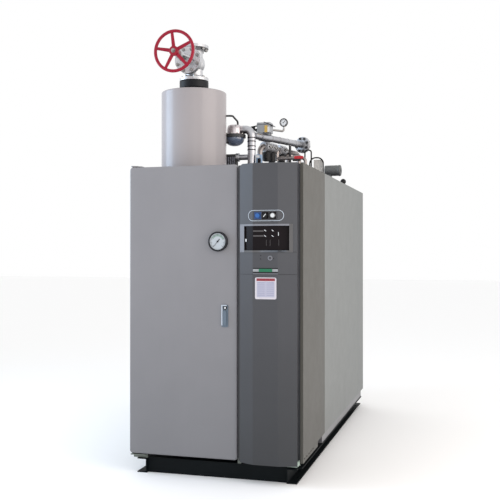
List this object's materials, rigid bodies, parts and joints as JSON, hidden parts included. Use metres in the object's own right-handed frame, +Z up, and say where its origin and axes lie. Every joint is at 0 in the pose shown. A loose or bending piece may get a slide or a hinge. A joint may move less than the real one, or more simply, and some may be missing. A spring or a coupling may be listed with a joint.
{
  "type": "packaged steam boiler",
  "caption": "Tall sheet-metal steam boiler cabinet on a channel base, with a hinged front door, a faceted control column, a separator tank and a stop valve with a red handwheel on top.",
  "frame": {"origin": "on the floor, under the middle of the machine's box", "axes": "+Z up, +X to the right of someone facing the door, +Y from the door to the back"},
  "size_m": [1.23, 3.092, 3.046],
  "materials": {
    "cabinet_grey": "satin baked enamel, light grey",
    "panel_warm_grey": "satin baked enamel, warm grey",
    "column_grey": "satin metallic enamel, dark grey",
    "base_black": "matt black chassis paint",
    "chassis_green": "zinc-plated steel with a green tint",
    "tank_grey": "smooth satin enamel on sheet lagging",
    "valve_silver": "aluminium paint on cast iron",
    "flange_black": "black painted forging",
    "wheel_red": "deep red enamel",
    "stem_steel": "turned steel",
    "pipe_silver": "aluminium-clad lagging",
    "brass": "dull yellow brass",
    "dark_iron": "dark painted iron",
    "black_plastic": "black moulding",
    "grey_plastic": "grey moulded housing",
    "dial_white": "white dial behind a lens",
    "window_dark": "dark tinted window",
    "button_blue": "blue push button",
    "lamp_white": "white lamp lens",
    "lever_red": "red dipped grip",
    "coil_blue": "light blue enamel",
    "latch_chrome": "bright die-cast latch"
  },
  "bodies": {
    "cabinet": {"base_rail_left": "base_black", "base_rail_right": "base_black", "base_cross_members": "base_black", "floor_pan": "base_black", "front_post_left": "chassis_green", "front_post_right": "chassis_green", "door_header": "chassis_green", "door_pivot_lower": "chassis_green", "door_pivot_upper": "cabinet_grey", "control_column": "column_grey", "column_foot": "chassis_green", "display_window": "window_dark", "control_plate": "column_grey", "pilot_lamp": "lamp_white", "left_front_panel": "panel_warm_grey", "left_rear_panel": "cabinet_grey", "right_front_panel": "panel_warm_grey", "right_rear_panel": "cabinet_grey", "back_panel": "cabinet_grey", "boiler_casing": "cabinet_grey", "top_deck": "cabinet_grey", "tank_shell": "tank_grey", "tank_top_end": "tank_grey", "tank_bottom_end": "tank_grey", "tank_legs": "chassis_green", "outlet_flange": "flange_black", "valve_body": "valve_silver", "valve_bonnet": "valve_silver", "riser_pipe": "pipe_silver", "trap_body": "dark_iron", "sense_tube": "dark_iron", "header_pipe": "pipe_silver", "actuator_box": "grey_plastic", "actuator_bracket": "black_plastic", "small_gauge": "black_plastic", "fuel_train": "brass", "fuel_valve_coils": "dark_iron", "fuel_regulator": "brass", "branch_valve": "brass", "feed_valve": "dark_iron", "pilot_coil": "coil_blue", "conduit_loops": "black_plastic", "junction_box": "chassis_green", "deck_motor": "dark_iron", "deck_knob": "black_plastic"},
    "door": {"front_door": "cabinet_grey", "door_gauge_case": "black_plastic", "door_gauge_dial": "dial_white", "door_latch": "latch_chrome"},
    "latch": {"latch_lever": "latch_chrome"},
    "handwheel": {"handwheel": "wheel_red", "valve_stem": "stem_steel"},
    "branch_lever": {"branch_valve_lever": "lever_red"},
    "selector": {"selector_knob": "black_plastic"},
    "button": {"push_button": "button_blue"}
  },
  "joints": [
    {"name": "door_hinge", "type": "hinge", "parent": "cabinet", "child": "door", "pos_m": [-0.595, -1.429, 1.128], "axis": [0, 0, -1], "range_deg": [0, 110]},
    {"name": "latch_pull", "type": "hinge", "parent": "door", "child": "latch", "pos_m": [0.081, -1.4533, 1.1365], "axis": [-1, 0, 0], "range_deg": [0, 40]},
    {"name": "handwheel_turn", "type": "hinge", "parent": "cabinet", "child": "handwheel", "pos_m": [-0.269, -1.489, 2.899], "axis": [0, -1, 0], "continuous": true},
    {"name": "branch_lever_turn", "type": "hinge", "parent": "cabinet", "child": "branch_lever", "pos_m": [0.345, -0.4573, 2.272], "axis": [0, -1, 0], "range_deg": [0, 90]},
    {"name": "selector_turn", "type": "hinge", "parent": "cabinet", "child": "selector", "pos_m": [0.3807, -1.524, 1.77], "axis": [0, -1, 0], "range_deg": [0, 90]},
    {"name": "button_press", "type": "slide", "parent": "cabinet", "child": "button", "axis": [0, 1, 0], "range_m": [0, 0.003], "stiffness_N_per_m": 300}
  ]
}
